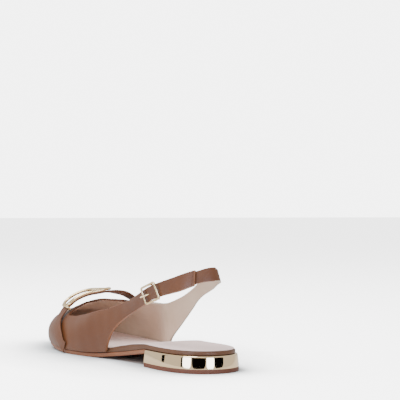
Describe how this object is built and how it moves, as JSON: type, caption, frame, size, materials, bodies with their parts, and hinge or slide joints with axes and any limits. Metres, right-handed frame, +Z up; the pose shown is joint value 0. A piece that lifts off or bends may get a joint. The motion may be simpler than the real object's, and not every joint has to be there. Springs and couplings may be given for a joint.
{
  "type": "slingback sandal",
  "caption": "Flat slingback sandal, left shoe: tan leather vamp, cut-out sides, strap with a gilt link over the instep, buckled sling, low heel cased in pale gold metal.",
  "frame": {"origin": "on the floor, under the middle of the heel's resting face", "axes": "+X from heel to toe, +Y to the outer side of the left foot, +Z up"},
  "size_m": [0.2685, 0.0876, 0.0745],
  "materials": {
    "upper_leather": "smooth tan calf leather, lined in beige",
    "edge_leather": "tan leather wrapped over the board",
    "sole_leather": "natural leather with a burnished edge",
    "sock_leather": "blush lining leather",
    "lift_rubber": "matt brown top lift",
    "gold_plating": "mirror-polished pale gold plating"
  },
  "bodies": {
    "root": {"outsole": "sole_leather", "insole_board": "edge_leather", "insole_sock": "sock_leather", "heel_block": "gold_plating", "top_lift": "lift_rubber", "upper": "upper_leather", "vamp_strap": "upper_leather", "vamp_link": "gold_plating", "buckle_frame": "gold_plating", "buckle_prong": "gold_plating"}
  },
  "joints": []
}
